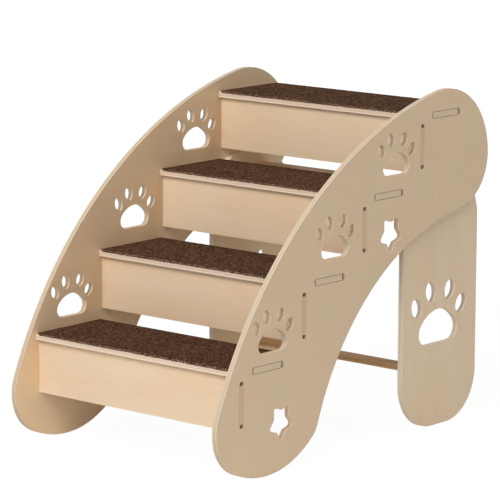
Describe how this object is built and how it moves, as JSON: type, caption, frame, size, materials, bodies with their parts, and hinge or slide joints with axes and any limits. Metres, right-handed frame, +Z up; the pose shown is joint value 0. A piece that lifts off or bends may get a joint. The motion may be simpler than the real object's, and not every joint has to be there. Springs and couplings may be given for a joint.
{
  "type": "pet stairs",
  "caption": "Free-standing plywood stairs for a small pet: carpeted treads between arched side panels with paw and star cut-outs, on round-cornered rear legs.",
  "frame": {"origin": "middle of the footprint's bounding box, on the floor", "axes": "+Z up; the low step faces -Y and the stairs climb towards +Y; X runs across the steps"},
  "size_m": [0.418, 0.655, 0.5364],
  "materials": {
    "panel_plywood": "matt, lightly oiled",
    "tread_plywood": "matt, lightly oiled",
    "riser_plywood": "matt, lightly oiled",
    "leg_plywood": "matt, lightly oiled",
    "crossbar_plywood": "matt, lightly oiled",
    "carpet": "needle felt",
    "screw": "zinc plated"
  },
  "bodies": {
    "root": {"side_panel_left": "panel_plywood", "side_panel_right": "panel_plywood", "tread_1": "tread_plywood", "tread_2": "tread_plywood", "tread_3": "tread_plywood", "tread_4": "tread_plywood", "riser_1": "riser_plywood", "riser_2": "riser_plywood", "riser_3": "riser_plywood", "riser_4": "riser_plywood", "carpet_1": "carpet", "carpet_2": "carpet", "carpet_3": "carpet", "carpet_4": "carpet", "rear_leg_left": "leg_plywood", "rear_leg_right": "leg_plywood", "upper_crossbar": "crossbar_plywood", "lower_crossbar": "crossbar_plywood", "leg_screws_left": "screw", "leg_screws_right": "screw"}
  },
  "joints": []
}
